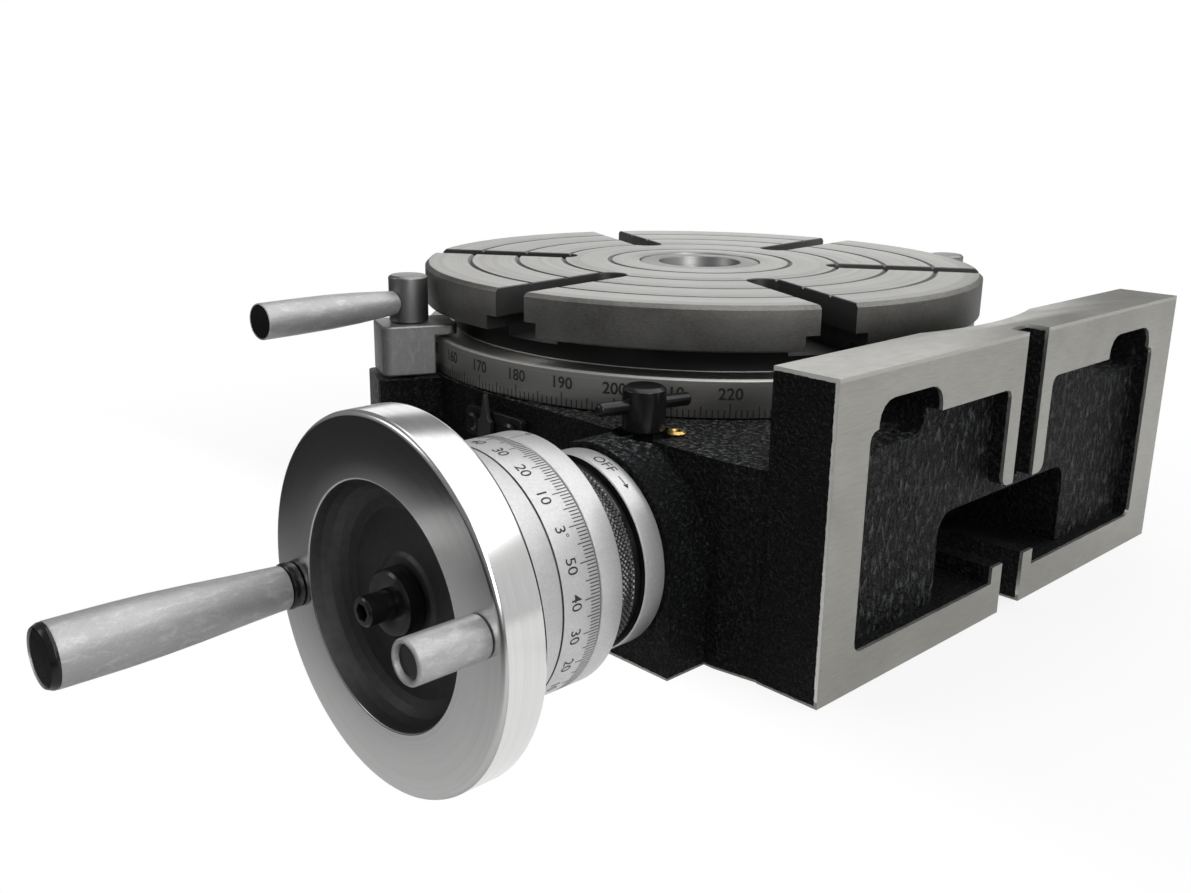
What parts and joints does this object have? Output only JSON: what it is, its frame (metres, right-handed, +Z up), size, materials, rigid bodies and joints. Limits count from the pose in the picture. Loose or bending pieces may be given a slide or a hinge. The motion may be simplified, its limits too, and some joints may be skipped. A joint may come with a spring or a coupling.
{
  "type": "horizontal-vertical rotary table",
  "caption": "Horizontal-vertical rotary table: T-slotted turntable on a base with a mounting wall, driven by a worm from a handwheel with a dial.",
  "frame": {"origin": "the table's axis at the ground underside of the base", "axes": "+Z up along the table axis, +X out of the vertical mounting face, -Y towards the handwheel"},
  "size_m": [0.2546, 0.3849, 0.1128],
  "materials": {
    "black_paint": "satin",
    "ground_iron": "satin",
    "polished_steel": "polished",
    "satin_chrome": "satin",
    "black_oxide": "satin",
    "cast_steel": "satin",
    "tool_steel": "satin",
    "bronze": "satin",
    "brass": "polished"
  },
  "bodies": {
    "root": {"base_casting": "black_paint", "base_cover": "ground_iron", "spindle_bush": "bronze", "index_plate": "tool_steel", "index_pointer": "tool_steel", "index_screw_1": "black_oxide", "index_screw_2": "black_oxide", "oiler": "brass", "off_ring": "satin_chrome", "clamp_stud_1": "tool_steel", "clamp_stud_2": "tool_steel"},
    "table": {"table_top": "ground_iron", "taper_socket": "tool_steel", "spindle": "tool_steel", "thrust_washer": "bronze", "spindle_nut": "tool_steel", "worm_wheel": "bronze", "wheel_bolt_1": "black_oxide", "wheel_bolt_2": "black_oxide", "wheel_bolt_3": "black_oxide", "wheel_bolt_4": "black_oxide"},
    "sleeve": {"eccentric_sleeve": "tool_steel", "turning_ring": "black_oxide", "zero_ring": "satin_chrome"},
    "worm": {"worm_shaft": "tool_steel", "thrust_collar": "bronze", "worm_nut": "tool_steel", "dial_hub": "black_oxide", "handwheel": "polished_steel", "wheel_nut": "black_oxide", "wheel_screw": "black_oxide", "long_handle_pin": "tool_steel", "long_grip_collar": "black_oxide", "short_handle_pin": "tool_steel"},
    "dial": {"dial_ring": "satin_chrome"},
    "long_handle": {"long_grip": "cast_steel", "long_grip_plug": "black_oxide"},
    "short_handle": {"short_grip": "cast_steel"},
    "clamp_1": {"clamp_jaw_1": "cast_steel"},
    "lever_1": {"lever_head_1": "tool_steel", "lever_handle_1": "cast_steel", "lever_tip_1": "black_oxide"},
    "clamp_2": {"clamp_jaw_2": "cast_steel"},
    "lever_2": {"lever_head_2": "tool_steel", "lever_handle_2": "cast_steel", "lever_tip_2": "black_oxide"},
    "lock": {"lock_screw": "black_oxide", "lock_bar": "black_oxide"}
  },
  "joints": [
    {"name": "table_spin", "type": "hinge", "parent": "root", "child": "table", "pos_m": [0, 0, 0.087], "axis": [0, 0, 1], "continuous": true},
    {"name": "sleeve_turn", "type": "hinge", "parent": "root", "child": "sleeve", "pos_m": [0.0665, -0.12, 0.0304], "axis": [0, 1, 0], "range_deg": [0, 90]},
    {"name": "handwheel_turn", "type": "hinge", "parent": "sleeve", "child": "worm", "pos_m": [0.062, -0.12, 0.0304], "axis": [0, 1, 0], "continuous": true},
    {"name": "dial_zero", "type": "hinge", "parent": "worm", "child": "dial", "pos_m": [0.062, -0.155, 0.0304], "axis": [0, 1, 0], "continuous": true},
    {"name": "long_handle_spin", "type": "hinge", "parent": "worm", "child": "long_handle", "pos_m": [0.0218, -0.19, 0.02403], "axis": [0, 1, 0], "continuous": true},
    {"name": "short_handle_spin", "type": "hinge", "parent": "worm", "child": "short_handle", "pos_m": [0.1022, -0.19, 0.03677], "axis": [0, 1, 0], "continuous": true},
    {"name": "clamp_1_press", "type": "slide", "parent": "root", "child": "clamp_1", "axis": [0, 0, -1], "range_m": [-0.00023, 0.000439]},
    {"name": "lever_1_turn", "type": "hinge", "parent": "clamp_1", "child": "lever_1", "pos_m": [-0.04239, -0.09988, 0.084], "axis": [0, 0, 1], "range_deg": [-105, 55]},
    {"name": "clamp_2_press", "type": "slide", "parent": "root", "child": "clamp_2", "axis": [0, 0, -1], "range_m": [-0.000084, 0.000688]},
    {"name": "lever_2_turn", "type": "hinge", "parent": "clamp_2", "child": "lever_2", "pos_m": [0.04239, 0.09988, 0.084], "axis": [0, 0, 1], "range_deg": [-165, 20]},
    {"name": "lock_screw_turn", "type": "hinge", "parent": "root", "child": "lock", "pos_m": [0.0665, -0.0965, 0.067], "axis": [0, 0, 1], "range_deg": [0, 180]}
  ],
  "couplings": [
    {"joint": "handwheel_turn", "follows": "table_spin", "ratio": -90},
    {"joint": "clamp_1_press", "follows": "lever_1_turn", "m_per_rad": -0.00023873},
    {"joint": "clamp_2_press", "follows": "lever_2_turn", "m_per_rad": -0.00023873}
  ]
}
